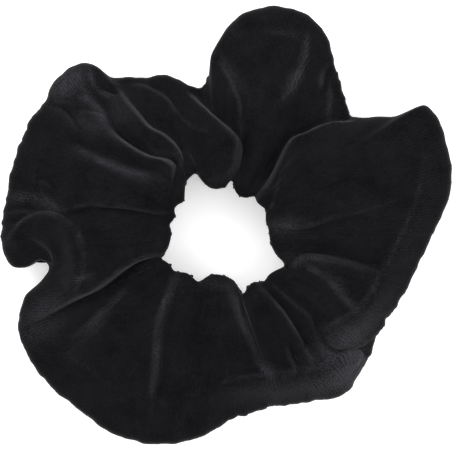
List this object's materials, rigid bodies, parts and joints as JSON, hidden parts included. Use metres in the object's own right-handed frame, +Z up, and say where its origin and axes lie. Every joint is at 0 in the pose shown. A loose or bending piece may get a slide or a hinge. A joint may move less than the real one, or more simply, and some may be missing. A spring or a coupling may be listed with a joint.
{
  "type": "scrunchie",
  "caption": "Velvet hair scrunchie: a wide cloth tube gathered into a wavy ruffle over a loop of flat elastic, with a round opening for the hair that stretches along X.",
  "frame": {"origin": "under the middle of the ruffle's outline, on the table that the scrunchie lies on", "axes": "+Z up out of the hair opening; +X to the right, along which the loop is stretched; +Y towards the tall upper lobe"},
  "size_m": [0.115, 0.1118, 0.0262],
  "materials": {
    "velvet": "cut-pile velvet with fine lengthwise ribs and a soft sheen",
    "elastic": "braided polyester over rubber cores, matt",
    "thread": "spun polyester, matt"
  },
  "bodies": {
    "left_half": {"cover_left_half": "velvet", "elastic_loop": "elastic", "elastic_lap_stitches": "thread", "long_seam_thread_left": "thread", "cross_seam_thread": "thread"},
    "right_half": {"cover_right_half": "velvet", "long_seam_thread_right": "thread"}
  },
  "joints": [
    {"name": "stretch", "type": "slide", "parent": "left_half", "child": "right_half", "axis": [1, 0, 0], "range_m": [0, 0.08], "stiffness_N_per_m": 60, "deforming": ["elastic_loop"]}
  ]
}
